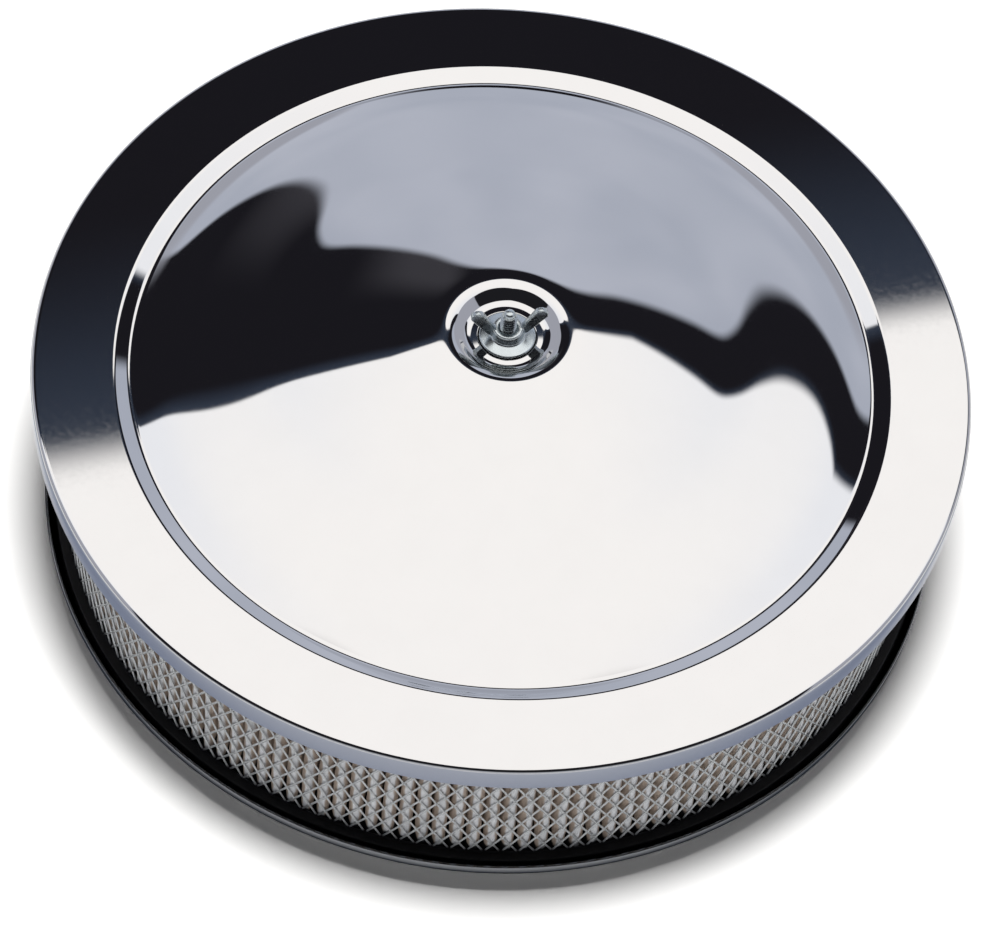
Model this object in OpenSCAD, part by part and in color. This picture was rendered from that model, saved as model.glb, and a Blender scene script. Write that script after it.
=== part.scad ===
// Round carburetor air cleaner: a plated lid and base clamp a pleated paper ring
// Millimetres, +Z up, origin on the neck axis at the underside of the neck gasket

/* [Sheet metal] */
// Outside diameter of the lid
lid_d = 355.6; // [330:0.1:380]
// Thickness of the lid and base sheet
sheet_t = 0.9; // [0.7:0.05:1.1]

/* [Lid] */
// Depth of the lip round the lid
lip_depth = 10.6; // [8:0.1:14]
// Outside radius of the bend above the lip
lip_bend_r = 2; // [1.4:0.1:3]
// Width of the flat ring, from the lip to the step
ring_w = 31.3; // [28:0.1:35]
// Radial width of the step inside the flat ring
step_w = 6; // [4.5:0.1:8]
// Drop of the step below the flat ring
step_drop = 2.5; // [1.5:0.1:3.5]
// Radius of the bends at the head and foot of the step
step_bend_r = 3; // [2:0.1:4]
// Height of the dish rim above the flat ring
crown_h = 26; // [20:0.1:32]
// Radius of the highest line round the dish
crown_r = 23.5; // [22.5:0.1:28]
// How far the steep skirt inside the step stands above a straight cone
skirt_bulge = 2.1; // [0.6:0.1:3]
// How far the flatter band inside the skirt stands above that cone
band_bulge = 0.8; // [0.2:0.1:2]
// How far the shoulder halfway up the dome stands above that cone
shoulder_bulge = 1.7; // [0.4:0.1:3]
// How far the brow below the crown stands above that cone
brow_bulge = 1.1; // [0.2:0.1:2]
// Bend radius where the skirt turns into the band
skirt_bend_r = 90; // [40:1:120]
// Bend radius at the band, the shoulder and the brow
dome_bend_r = 250; // [150:5:300]
// Bend radius where the dome turns level at the crown
crown_out_bend_r = 60; // [20:1:80]
// Bend radius where the crown turns down into the dish
crown_in_bend_r = 5; // [3:0.1:7]
// Width of the level line between those two bends
crown_flat = 0.4; // [0.2:0.1:2]
// Slope of the ledge inside the crown, in degrees
ledge_slope = 24; // [18:0.5:30]
// Radius at the head of the dish wall
dish_wall_r = 16.9; // [16.5:0.1:18]
// Radius of the flat floor of the dish
dish_floor_r = 15.9; // [15.5:0.1:16.2]
// Depth of the dish floor below the crown
dish_depth = 5.2; // [4.8:0.1:8]
// Bend radius at the head of the dish wall
dish_head_bend_r = 1.2; // [1.15:0.05:1.4]
// Bend radius at the foot of the dish wall
dish_foot_bend_r = 1; // [0.5:0.1:1.2]

/* [Base pan] */
// How far the lid stands out past the base rim
lid_overhang = 5.3; // [3:0.1:8]
// Height of the rim above the element seat
rim_h = 7.25; // [6.5:0.05:10]
// Inside radius of the bend under the rim
rim_bend_r = 4.9; // [3.5:0.1:6]
// Depth of the panel below the element seat
panel_drop = 3; // [2:0.1:4.5]
// Radial width of the step between panel and seat
panel_step_w = 3.5; // [2.5:0.1:6]
// Bend radius of the panel step and the neck wall
panel_bend_r = 2; // [1.5:0.1:2.5]

/* [Neck] */
// Bore that drops over the carburetor air horn
neck_bore_d = 130.6; // [106:0.1:134]
// Depth of the neck plate below the element seat
neck_drop = 8; // [6.5:0.1:11]
// Width of the neck plate round the bore
neck_plate_w = 9; // [8:0.1:13]
// Height of the turned up edge of the bore above the plate
neck_edge_h = 6.5; // [5:0.1:8]
// Inside radius of the bend at the bore
neck_bend_r = 1.5; // [1:0.1:1.8]
// Lean of the neck wall, in radius
neck_wall_lean = 2; // [1:0.1:4]
// Thickness of the neck gasket
gasket_t = 3; // [2:0.1:5]
// Gap between the bore and the gasket
gasket_gap = 1.9; // [1.5:0.1:2.5]
// Width of the neck gasket
gasket_w = 6.4; // [4:0.1:6.8]

/* [Breather hole] */
// Diameter of the breather hole in the panel
breather_d = 25.4; // [16:0.1:30]
// Direction of the breather hole round the base, in degrees
breather_angle = 135; // [0:5:355]
// Width of the plug flanges past the hole
plug_flange_w = 3; // [2:0.1:4]
// Thickness of each plug flange
plug_flange_t = 1.8; // [1.2:0.1:2.4]
// Gap between the plug and the edge of its hole
plug_gap = 0.1; // [0.05:0.05:0.3]

/* [Filter element] */
// Height of the element over both seals
element_h = 82.55; // [60:0.05:102]
// Thickness of each end seal
seal_t = 6; // [5:0.1:9]
// Gap between the seals and the base rim
seal_side_gap = 2.8; // [1:0.1:4]
// How far the seals stand out past the outer screen
seal_overhang = 3.8; // [2.5:0.1:6]
// Gap between the inside of the seals and the lid step
seal_step_gap = 1; // [0.5:0.1:3]
// Radius of the outer corner on the contact face of a seal
seal_corner_r = 3; // [2:0.1:4]
// Depth of the grooves in the contact face of a seal
seal_groove_t = 1.2; // [0.6:0.1:2]
// Width of each groove in the contact face
seal_groove_w = 3; // [2:0.1:4]
// Number of pleats in the paper
pleat_count = 160; // [100:2:180]
// Thickness of the paper
paper_t = 0.5; // [0.3:0.05:0.6]
// Gap between the paper and each screen
paper_gap = 0.3; // [0.1:0.05:0.5]
// Width of the flat on the tip of each fold
fold_flat = 1; // [0.6:0.1:1.4]

/* [Screens] */
// Thickness of the expanded metal screens
screen_t = 0.7; // [0.5:0.05:1]
// How far the inner screen sits inside the seals
screen_inset = 0.8; // [0.5:0.1:2]
// Number of openings round a screen
screen_columns = 40; // [24:1:40]
// Number of staggered rows of openings
screen_rows = 3; // [1:1:3]
// Width of the metal strands
strand_w = 2.4; // [1.5:0.1:4]

/* [Stud and wing nut] */
// Diameter of the stud
stud_d = 6.35; // [6:0.05:7]
// Length of the stud
stud_len = 101.6; // [80:0.1:108]
// Height of the stud above the nut
stud_show = 7.1; // [4:0.1:10]
// Length of the tapered nose at each end of the stud
stud_nose = 1.6; // [1:0.1:2.4]
// Radius taken off the stud at its noses
stud_nose_in = 1.2; // [0.6:0.1:1.8]
// Gap round the stud in the lid hole
lid_hole_gap = 0.4; // [0.2:0.05:0.6]
// Gap round the stud in the seal washer
washer_hole_gap = 0.25; // [0.1:0.05:0.4]
// Gap round the stud in the nut
nut_hole_gap = 0.05; // [0.03:0.01:0.09]
// Thickness of the seal washer
washer_t = 1.2; // [0.8:0.1:2]
// How far the washer stays inside the nut flange
washer_inset = 0.7; // [0.3:0.1:2]
// Diameter of the nut flange
nut_flange_d = 21.4; // [18:0.1:23]
// Thickness of the flange at its edge
nut_edge_t = 0.9; // [0.6:0.1:1.4]
// Radius at the foot of the hub
hub_foot_r = 6.3; // [6:0.1:7]
// Height of the hub foot above the underside
hub_foot_h = 2.2; // [1.8:0.1:3]
// Radius at the head of the hub
hub_head_r = 5.7; // [5.2:0.1:5.9]
// Height of the hub
hub_h = 5.9; // [5:0.1:7.5]
// Bend radius round the head of the hub
hub_round_r = 0.7; // [0.3:0.1:1]
// Countersink width at the top of the hub
hub_sink = 0.6; // [0.3:0.1:1]

/* [Wings] */
// Thickness of the wings
wing_t = 2.4; // [1.6:0.1:3]
// Radius of each wing tip
wing_tip_r = 2.7; // [2:0.1:3.2]
// Distance of a wing tip centre from the axis
wing_reach = 11.8; // [10.5:0.1:12.5]
// Height of a wing tip centre above the underside
wing_rise = 13.1; // [11:0.1:16]
// Turn of the wings about the stud, in degrees
wing_turn = 4; // [0:1:90]

/* [Hidden] */

round_fn = 180;
small_fn = 64;
arc_step = 9;
cut_over = 2;

lid_r = lid_d/2;
ring_in_r = lid_r - ring_w;
step_foot_r = ring_in_r - step_w;
rim_out_r = lid_r - lid_overhang;
rim_in_r = rim_out_r - sheet_t;
seal_out_r = rim_in_r - seal_side_gap;
seal_in_r = ring_in_r + seal_step_gap;
screen_out_r = seal_out_r - seal_overhang;
inner_screen_in_r = seal_in_r + screen_inset;
paper_out_r = screen_out_r - screen_t - paper_gap;
paper_in_r = inner_screen_in_r + screen_t + paper_gap;

neck_plate_z = gasket_t;
seat_z = neck_plate_z + sheet_t + neck_drop;
panel_z = seat_z - panel_drop;
ring_z = seat_z + element_h + sheet_t;
crown_z = ring_z + crown_h;
dish_z = crown_z - dish_depth;
nut_z = dish_z + washer_t;
stud_top_z = nut_z + hub_h + stud_show;
seal_top_z = seat_z + seal_t;
media_h = element_h - 2*seal_t;

neck_bore_r = neck_bore_d/2;
neck_wall_r = neck_bore_r + sheet_t + neck_plate_w;
panel_in_r = neck_wall_r + neck_wall_lean;
seat_in_r = seal_in_r - panel_step_w;
panel_out_r = seat_in_r - panel_step_w;
breather_at_r = (panel_in_r + panel_out_r)/2;

stud_r = stud_d/2;
lid_hole_r = stud_r + lid_hole_gap;

// Shares of the way from the step foot to the crown, where the dome changes its slope
skirt_at = 0.118;
band_at = 0.41;
shoulder_at = 0.625;
brow_at = 0.837;

// Unit vector along v
function unit(v) = v/norm(v);

// v turned a quarter turn to the right
function right_of(v) = [v[1], -v[0]];

// v turned by an angle
function turned(v, angle) = [v[0]*cos(angle) - v[1]*sin(angle), v[0]*sin(angle) + v[1]*cos(angle)];

// Points of a round corner at p between the legs to a and b
function corner(a, p, b, bend) =
    let (
        u = unit(a - p),
        v = unit(b - p),
        half = acos(u*v)/2,
        middle = p + unit(u + v)*bend/sin(half),
        first = p + u*bend/tan(half) - middle,
        last = p + v*bend/tan(half) - middle,
        sweep = sign(cross(first, last))*(180 - 2*half),
        steps = max(1, ceil(abs(sweep)/arc_step))
    )
    [for (i = [0:steps]) middle + turned(first, sweep*i/steps)];

// Path through rows of [radius, height, bend radius], with a bend of 0 left sharp
function bent_path(rows) = [
    for (i = [0:len(rows) - 1])
        let (p = [rows[i][0], rows[i][1]])
        each rows[i][2] == 0 ? [p] : corner(
            [rows[i - 1][0], rows[i - 1][1]], p,
            [rows[i + 1][0], rows[i + 1][1]], rows[i][2])
];

// Point of a path moved t to its right
function shifted(path, i, t) =
    let (
        before = unit(path[max(i, 1)] - path[max(i, 1) - 1]),
        after = unit(path[min(i, len(path) - 2) + 1] - path[min(i, len(path) - 2)]),
        way = unit(right_of(before) + right_of(after))
    )
    path[i] + way*t/(way*right_of(before));

// Outline of a sheet of thickness t under a path
function sheet_outline(path, t) =
    concat(path, [for (i = [len(path) - 1:-1:0]) shifted(path, i, t)]);

// Upper face of the lid, from its stud hole to the edge of its lip
lid_rows = [
    [lid_hole_r, dish_z, 0],
    [dish_floor_r, dish_z, dish_foot_bend_r],
    [dish_wall_r, crown_z - (crown_in_r() - dish_wall_r)*tan(ledge_slope), dish_head_bend_r],
    [crown_in_r(), crown_z, crown_in_bend_r],
    [crown_out_r(), crown_z, crown_out_bend_r],
    dome_row(brow_at, brow_bulge, dome_bend_r),
    dome_row(shoulder_at, shoulder_bulge, dome_bend_r),
    dome_row(band_at, band_bulge, dome_bend_r),
    dome_row(skirt_at, skirt_bulge, skirt_bend_r),
    [step_foot_r, ring_z - step_drop, step_bend_r],
    [ring_in_r, ring_z, step_bend_r],
    [lid_r, ring_z, lip_bend_r],
    [lid_r, ring_z - lip_depth, 0]
];

// Corner between the crown and the ledge of the dish
function crown_in_r() = crown_r - crown_flat/2 - crown_in_bend_r*tan(ledge_slope/2);

// Row of the dome at a share of the way up, standing above a straight cone by its bulge
function dome_row(share, bulge, bend) = [
    step_foot_r + (crown_out_r() - step_foot_r)*share,
    ring_z - step_drop + (crown_h + step_drop)*share + bulge,
    bend
];

// Corner between the crown and the dome, whose slope there depends on that corner
function top_slope(corner_r) =
    atan(((crown_h + step_drop)*(1 - brow_at) - brow_bulge)/((step_foot_r - corner_r)*(1 - brow_at)));
function crown_out_r() =
    let (
        level_r = crown_r + crown_flat/2,
        near = level_r + crown_out_bend_r*tan(top_slope(level_r)/2)
    )
    level_r + crown_out_bend_r*tan(top_slope(near)/2);

// Upper face of the base, from the edge of its bore to the top of its rim
base_rows = [
    [neck_bore_r + sheet_t, neck_plate_z + sheet_t + neck_edge_h, 0],
    [neck_bore_r + sheet_t, neck_plate_z + sheet_t, neck_bend_r],
    [neck_wall_r, neck_plate_z + sheet_t, panel_bend_r],
    [panel_in_r, panel_z, panel_bend_r],
    [panel_out_r, panel_z, panel_bend_r],
    [seat_in_r, seat_z, panel_bend_r],
    [rim_in_r, seat_z, rim_bend_r],
    [rim_in_r, seat_z + rim_h, 0]
];

module pressed_sheet(rows) {
    rotate_extrude($fn = round_fn) polygon(sheet_outline(bent_path(rows), sheet_t));
}

module ring(in_r, out_r, z, h, fn = round_fn) {
    translate([0, 0, z]) rotate_extrude($fn = fn) polygon([
        [in_r, 0], [out_r, 0], [out_r, h], [in_r, h]]);
}

module lid() {
    color([0.86, 0.86, 0.88]) pressed_sheet(lid_rows);
}

module base_pan() {
    color([0.8, 0.8, 0.82]) difference() {
        pressed_sheet(base_rows);
        at_breather() cylinder(h = sheet_t + 2*cut_over, r = breather_d/2, center = true, $fn = small_fn);
    }
}

// Moves its children to the middle of the sheet at the breather hole
module at_breather() {
    rotate([0, 0, breather_angle]) translate([breather_at_r, 0, panel_z - sheet_t/2]) children();
}

module breather_plug() {
    waist_r = breather_d/2 - plug_gap;
    flange_r = breather_d/2 + plug_flange_w;
    half_t = sheet_t/2;
    color([0.08, 0.08, 0.09]) at_breather() rotate_extrude($fn = small_fn) polygon([
        [0, -half_t - plug_flange_t], [waist_r, -half_t - plug_flange_t], [flange_r, -half_t],
        [waist_r, -half_t], [waist_r, half_t], [flange_r, half_t],
        [flange_r - plug_flange_t/2, half_t + plug_flange_t], [0, half_t + plug_flange_t]]);
}

module neck_gasket() {
    in_r = neck_bore_r + gasket_gap;
    color([0.12, 0.12, 0.12]) ring(in_r, in_r + gasket_w, 0, gasket_t);
}

// End seal with its contact face down at z = 0
module end_seal() {
    w = seal_out_r - seal_in_r;
    land = (w - seal_corner_r - 2*seal_groove_w)/3;
    first = seal_in_r + land;
    second = first + seal_groove_w + land;
    color([0.06, 0.06, 0.065]) rotate_extrude($fn = round_fn) polygon(bent_path([
        [seal_in_r, 0, 0],
        [first, 0, 0],
        [first + seal_groove_w/2, seal_groove_t, 0],
        [first + seal_groove_w, 0, 0],
        [second, 0, 0],
        [second + seal_groove_w/2, seal_groove_t, 0],
        [second + seal_groove_w, 0, 0],
        [seal_out_r, 0, seal_corner_r],
        [seal_out_r, seal_t, 0.8],
        [seal_in_r, seal_t, 0]
    ]));
}

module bottom_seal() {
    translate([0, 0, seat_z]) end_seal();
}

module top_seal() {
    translate([0, 0, seat_z + element_h]) mirror([0, 0, 1]) end_seal();
}

// Zigzag of folds whose tips lie at tip_r and feet at foot_r, with a flat on one of them
function folds(tip_r, foot_r, tip_flat, foot_flat) = [
    for (i = [0:pleat_count - 1])
        let (
            at = 360*i/pleat_count,
            half_tip = tip_flat/2/tip_r*180/PI,
            half_foot = foot_flat/2/foot_r*180/PI,
            foot_at = at + 180/pleat_count
        )
        each concat(
            tip_flat == 0 ? [on_circle(tip_r, at)]
                : [on_circle(tip_r, at - half_tip), on_circle(tip_r, at + half_tip)],
            foot_flat == 0 ? [on_circle(foot_r, foot_at)]
                : [on_circle(foot_r, foot_at - half_foot), on_circle(foot_r, foot_at + half_foot)])
];

function on_circle(r, angle) = [r*cos(angle), r*sin(angle)];

module pleated_paper() {
    fold_depth = paper_out_r - paper_in_r;
    half_pitch = PI*(paper_out_r + paper_in_r)/2/pleat_count - fold_flat/2;
    skin = paper_t*sqrt(fold_depth*fold_depth + half_pitch*half_pitch)/half_pitch;
    color([0.9, 0.88, 0.8]) translate([0, 0, seal_top_z]) linear_extrude(media_h) difference() {
        polygon(folds(paper_out_r, paper_in_r + skin, fold_flat, 0));
        polygon(folds(paper_out_r - skin, paper_in_r, 0, fold_flat));
    }
}

// Thin tube with staggered diamond openings, as cut and stretched metal has
module expanded_screen(in_r) {
    out_r = in_r + screen_t;
    pitch = 2*PI*out_r/screen_columns;
    row_h = media_h/(screen_rows + 1);
    gap_w = pitch - strand_w;
    gap_h = gap_w*2*row_h/pitch;
    color([0.72, 0.74, 0.76]) difference() {
        ring(in_r, out_r, seal_top_z, media_h);
        for (row = [1:screen_rows], column = [0:screen_columns - 1])
            rotate([0, 0, 360*(column + (row % 2)/2)/screen_columns])
                translate([in_r - cut_over, 0, seal_top_z + row*row_h])
                    rotate([90, 0, 90])
                        linear_extrude(screen_t + 2*cut_over)
                            polygon([[-gap_w/2, 0], [0, -gap_h/2], [gap_w/2, 0], [0, gap_h/2]]);
    }
}

module outer_screen() {
    expanded_screen(screen_out_r - screen_t);
}

module inner_screen() {
    expanded_screen(inner_screen_in_r);
}

module center_stud() {
    nose_r = stud_r - stud_nose_in;
    color([0.78, 0.78, 0.76]) translate([0, 0, stud_top_z - stud_len]) rotate_extrude($fn = small_fn)
        polygon([
            [0, 0], [nose_r, 0], [stud_r, stud_nose], [stud_r, stud_len - stud_nose],
            [nose_r, stud_len], [0, stud_len]]);
}

module nut_seal_washer() {
    color([0.07, 0.07, 0.07])
        ring(stud_r + washer_hole_gap, nut_flange_d/2 - washer_inset, dish_z, washer_t, small_fn);
}

// Outline of one wing in the plane of the axis, from the hub out to its round tip
function wing_outline() =
    let (
        root_in = [hub_head_r - wing_t/2, hub_h - hub_round_r],
        root_low = [hub_head_r - wing_t/2, hub_foot_h],
        root_out = [hub_foot_r + wing_t/2, hub_foot_h + wing_t/4],
        tip = [wing_reach, wing_rise],
        low_at = atan2(tip[1] - root_out[1], tip[0] - root_out[0]) - 90,
        high_at = atan2(tip[1] - root_in[1], tip[0] - root_in[0]) + 90,
        steps = ceil((high_at - low_at)/arc_step)
    )
    concat(
        [root_in, root_low, root_out],
        [for (i = [0:steps]) tip + on_circle(wing_tip_r, low_at + (high_at - low_at)*i/steps)]);

module wing_nut() {
    bore_r = stud_r + nut_hole_gap;
    color([0.8, 0.82, 0.84]) translate([0, 0, nut_z]) union() {
        rotate_extrude($fn = small_fn) polygon(bent_path([
            [bore_r, 0, 0],
            [nut_flange_d/2, 0, 0],
            [nut_flange_d/2, nut_edge_t, 0],
            [hub_foot_r, hub_foot_h, 0],
            [hub_head_r, hub_h, hub_round_r],
            [bore_r + hub_sink, hub_h, 0],
            [bore_r, hub_h - hub_sink, 0]
        ]));
        for (side = [0, 180])
            rotate([0, 0, wing_turn + side]) translate([0, wing_t/2, 0]) rotate([90, 0, 0])
                linear_extrude(wing_t) polygon(wing_outline());
    }
}

lid();
wing_nut();
nut_seal_washer();
center_stud();
top_seal();
pleated_paper();
outer_screen();
inner_screen();
bottom_seal();
base_pan();
breather_plug();
neck_gasket();
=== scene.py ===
"""Looks of a round carburetor air cleaner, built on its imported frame.

A plated lid and base clamp a pleated paper ring in expanded metal, under a wing nut on a threaded stud.
"""
import math

import bmesh
import bpy
from mathutils import Matrix, Vector


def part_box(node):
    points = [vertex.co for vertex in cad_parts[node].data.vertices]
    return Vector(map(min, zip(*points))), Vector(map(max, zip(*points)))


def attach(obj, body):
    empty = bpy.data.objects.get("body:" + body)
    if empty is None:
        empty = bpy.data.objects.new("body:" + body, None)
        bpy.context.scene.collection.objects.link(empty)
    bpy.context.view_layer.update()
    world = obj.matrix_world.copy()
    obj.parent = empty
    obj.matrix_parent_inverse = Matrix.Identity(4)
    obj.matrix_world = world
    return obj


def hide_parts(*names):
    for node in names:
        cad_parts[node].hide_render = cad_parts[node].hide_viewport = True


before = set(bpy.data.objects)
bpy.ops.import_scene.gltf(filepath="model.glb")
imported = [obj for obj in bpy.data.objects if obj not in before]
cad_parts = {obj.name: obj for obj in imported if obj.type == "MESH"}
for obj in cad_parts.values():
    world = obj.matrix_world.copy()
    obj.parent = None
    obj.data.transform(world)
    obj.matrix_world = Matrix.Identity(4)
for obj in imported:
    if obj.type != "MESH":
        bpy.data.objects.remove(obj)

bl_info = {
    "name": "Carburetor Air Cleaner",
    "version": (1, 0, 0),
    "blender": (4, 5, 0),
    "location": "3D View > Sidebar > Air cleaner",
    "description": "Plated lid and base, pleated paper ring, expanded metal, wing nut and threaded stud",
    "category": "Object",
}

MM = 0.001

# Slope of the dome in degrees at each radius in millimetres, from the crown out to the step
DOME_SLOPES = ((23.5, 0), (25.5, 4.5), (28, 8.6), (34, 10.8), (46, 12.3), (60, 14.1), (72, 15.7), (82, 17),
               (88, 16), (96, 13.8), (106, 12.7), (118, 13.7), (126, 16.8), (134, 22.2), (138, 22.8), (142, 22.8))


# Properties

def size(name, description, millimetres):
    """A length property whose default is given in millimetres."""
    return bpy.props.FloatProperty(name=name, description=description, default=millimetres * MM,
                                   unit="LENGTH", precision=5)


def number(name, description, default):
    return bpy.props.FloatProperty(name=name, description=description, default=default)


def count(name, description, default):
    return bpy.props.IntProperty(name=name, description=description, default=default)


def angle(name, description, degrees):
    return bpy.props.FloatProperty(name=name, description=description, default=math.radians(degrees),
                                   unit="ROTATION")


def colour(name, description, default):
    return bpy.props.FloatVectorProperty(name=name, description=description, default=default, size=3,
                                         min=0, max=1, subtype="COLOR")


def reach(node):
    """Outside radius of a round node in millimetres."""
    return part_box(node)[1].x / MM


def foot(node):
    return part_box(node)[0].z / MM


def head(node):
    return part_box(node)[1].z / MM


class LidSizes(bpy.types.PropertyGroup):
    radius: size("Radius", "Outside radius of the lid", reach("lid"))
    sheet: size("Sheet", "Thickness of the pressed sheet", 0.9)
    crown: size("Crown height", "Height of the rim round the dish", head("lid"))
    edge: size("Lip edge", "Height of the lower edge of the lip", foot("lid"))
    lip_depth: size("Lip depth", "Depth of the lip below the flat ring", 10.6)
    lip_bend: size("Lip bend", "Radius of the bend above the lip", 2)
    ring_in: size("Ring inside", "Inside radius of the flat ring", 146.5)
    step_foot: size("Step foot", "Radius at the foot of the step", 140.5)
    step_drop: size("Step drop", "Depth of the step below the flat ring", 2.5)
    step_bend: size("Step bend", "Radius of both bends of the step", 3)
    crown_radius: size("Crown radius", "Radius of the highest line round the dish", 23.5)
    crown_bend: size("Crown bend", "Radius of the roll over the crown into the dish", 8)
    ledge_slope: angle("Ledge slope", "Slope of the side of the dish", 36)
    floor: size("Dish floor", "Depth of the dish floor round the washer, below the crown", 3.9)
    recess: size("Washer recess", "Radius of the recess that takes the washer", 10.85)
    depth: size("Dish depth", "Depth of the washer's seat below the crown", 5.2)
    hole: size("Stud hole", "Radius of the stud hole", 3.575)


class BaseSizes(bpy.types.PropertyGroup):
    rim: size("Rim radius", "Inside radius of the rim", reach("base_pan") - 0.9)
    sheet: size("Sheet", "Thickness of the pressed sheet", 0.9)
    rim_top: size("Rim top", "Height of the top of the rim", head("base_pan"))
    seat: size("Seat", "Height of the seat under the filter ring", foot("bottom_seal"))
    rim_bend: size("Rim bend", "Radius of the bend below the rim", 4.9)
    seat_in: size("Seat inside", "Inside radius of the seat", 144)
    panel_out: size("Panel outside", "Outside radius of the panel", 140.5)
    panel_in: size("Panel inside", "Inside radius of the panel", 77.2)
    panel_drop: size("Panel drop", "Depth of the panel below the seat", 3)
    neck_wall: size("Neck wall", "Radius at the foot of the neck wall", 75.2)
    plate: size("Neck plate", "Height of the upper side of the neck plate", 3.9)
    bend: size("Panel bend", "Radius of the bends of the panel and neck", 2)
    bore: size("Bore", "Radius of the bore for the carburetor", 65.3)
    bore_edge: size("Bore edge", "Height of the turned up edge of the bore above the plate", 6.5)
    hole: size("Breather hole", "Radius of the breather hole", 12.7)
    hole_at: size("Breather place", "Distance of the breather hole from the axis", 108.85)
    hole_turn: angle("Breather direction", "Direction of the breather hole round the base", 135)


class FilterSizes(bpy.types.PropertyGroup):
    low: size("Paper foot", "Height where the paper leaves the lower seal", foot("pleated_paper"))
    high: size("Paper head", "Height where the paper enters the upper seal", head("pleated_paper"))
    outer: size("Outer mesh", "Outside radius of the outer mesh", reach("outer_screen"))
    inner: size("Inner mesh", "Outside radius of the inner mesh", reach("inner_screen"))
    mesh: size("Mesh thickness", "Thickness of the expanded metal", 0.7)
    strand: size("Strand", "Width of one strand of the expanded metal", 0.92)
    columns: count("Columns", "Openings round the mesh", 162)
    rows: count("Rows", "Openings up the mesh", 7)
    pleats: count("Pleats", "Number of pleats in the paper", 160)
    paper: size("Paper", "Thickness of the paper", 0.45)
    fold: size("Fold", "Radius of the outer folds", 2.45)
    lean: number("Lean", "How far the pleats lean over, for each length of depth", 0.14)
    stray: size("Stray", "How far the pleats stray from even", 1.5)


class NutSizes(bpy.types.PropertyGroup):
    underside: size("Underside", "Height of the underside of the nut", foot("wing_nut"))
    bore: size("Bore", "Radius of the bore", 3.225)
    flange: size("Flange", "Radius of the flange", reach("nut_seal_washer") + 0.7)
    hub_foot: size("Hub foot", "Radius at the foot of the hub", 6.3)
    hub_head: size("Hub head", "Radius at the head of the hub", 5.7)
    hub: size("Hub height", "Height of the hub above the underside", 5.9)
    wing: size("Wing thickness", "Thickness of the wings", 2.2)
    tip: size("Wing tip", "Radius of each wing tip", 2.7)
    tip_out: size("Tip reach", "Distance of a wing tip's centre from the axis", 11.8)
    tip_up: size("Tip height", "Height of a wing tip's centre above the underside", 13.1)
    turn: angle("Wing turn", "Turn of the wings about the stud", 12)
    stud: size("Stud", "Radius over the thread", 3.175)
    stud_low: size("Stud foot", "Height of the lower end of the stud", foot("center_stud"))
    stud_high: size("Stud head", "Height of the upper end of the stud", head("center_stud") + 1.8)
    pitch: size("Pitch", "Height of one turn of the thread", 1.27)
    nose: size("Nose", "Length of the plain nose at each end of the stud", 1.6)


class Finishes(bpy.types.PropertyGroup):
    chrome: colour("Chrome", "Colour of the bright plating", (0.55, 0.555, 0.56))
    # painted shade: the lip's plating is coloured darker and bluer than the chrome to stand for the dim bluish
    # floor it reflects
    lip: colour("Lip", "Colour of the plating on the lip of the lid", (0.235, 0.25, 0.292))
    # painted shade: the base's rim and the bend below it get this dark plating colour to stand for the shadowed
    # floor they reflect
    base: colour("Base", "Colour of the plating on the base", (0.135, 0.14, 0.15))
    zinc: colour("Zinc", "Colour of the wing nut and stud", (0.49, 0.54, 0.56))
    metal: colour("Expanded metal", "Colour of the mesh", (0.40, 0.415, 0.425))
    rubber: colour("Rubber", "Colour of the seals", (0.006, 0.006, 0.007))
    paper: colour("Paper", "Colour of the filter paper", (0.78, 0.795, 0.83))
    gasket: colour("Gasket", "Colour of the neck gasket", (0.03, 0.029, 0.028))


class StageSettings(bpy.types.PropertyGroup):
    distance: number("Camera distance", "Metres from the camera to the middle of the lid", 2.037)
    elevation: angle("Elevation", "Elevation of the camera over the lid", 53.95)
    tilt: angle("Tilt", "How much steeper than that the camera looks down", 1.05)
    pan: angle("Pan", "How far the camera looks aside", 0.04)
    roll: angle("Roll", "Roll of the camera", 6.45)
    lens: number("Lens", "Focal length in millimetres on a 36 mm sensor", 194.4)
    shift_x: number("Shift X", "Shift of the camera", 0.010)
    shift_y: number("Shift Y", "Shift of the camera", -0.002)
    panel: number("Light panel", "Brightness of the light panel overhead", 1.64)
    overhead: number("Overhead lamp", "Watts of the soft overhead lamp", 95.0)
    front: number("Front lamp", "Watts of the soft lamp in front", 6.0)
    floor: colour("Floor", "Colour of the floor", (0.80, 0.795, 0.785))


class AirCleaner(bpy.types.PropertyGroup):
    lid: bpy.props.PointerProperty(type=LidSizes)
    base: bpy.props.PointerProperty(type=BaseSizes)
    ring: bpy.props.PointerProperty(type=FilterSizes)
    nut: bpy.props.PointerProperty(type=NutSizes)
    finish: bpy.props.PointerProperty(type=Finishes)
    stage: bpy.props.PointerProperty(type=StageSettings)


# Modelling helpers

def rest():
    """Leaves edit mode with nothing selected."""
    if bpy.context.object and bpy.context.object.mode != "OBJECT":
        bpy.ops.object.mode_set(mode="OBJECT")
    bpy.ops.object.select_all(action="DESELECT")


def pick(*pieces):
    """Selects pieces, the first of them active."""
    rest()
    for piece in pieces:
        piece.select_set(True)
    bpy.context.view_layer.objects.active = pieces[0]


def named(name):
    """Names the piece just added and puts its place into its mesh."""
    piece = bpy.context.object
    piece.name = piece.data.name = name
    bpy.ops.object.transform_apply(location=True, rotation=True, scale=True)
    return piece


def edit(piece):
    """Opens a piece in edit mode with everything selected."""
    pick(piece)
    bpy.ops.object.mode_set(mode="EDIT")
    bpy.ops.mesh.select_mode(type="VERT")
    bpy.ops.mesh.select_all(action="SELECT")


def apply(piece, kind, **settings):
    """Adds a modifier, sets it and applies it."""
    pick(piece)
    modifier = piece.modifiers.new(kind.title(), kind)
    for key, value in settings.items():
        setattr(modifier, key, value)
    bpy.ops.object.modifier_apply(modifier=modifier.name)


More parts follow.
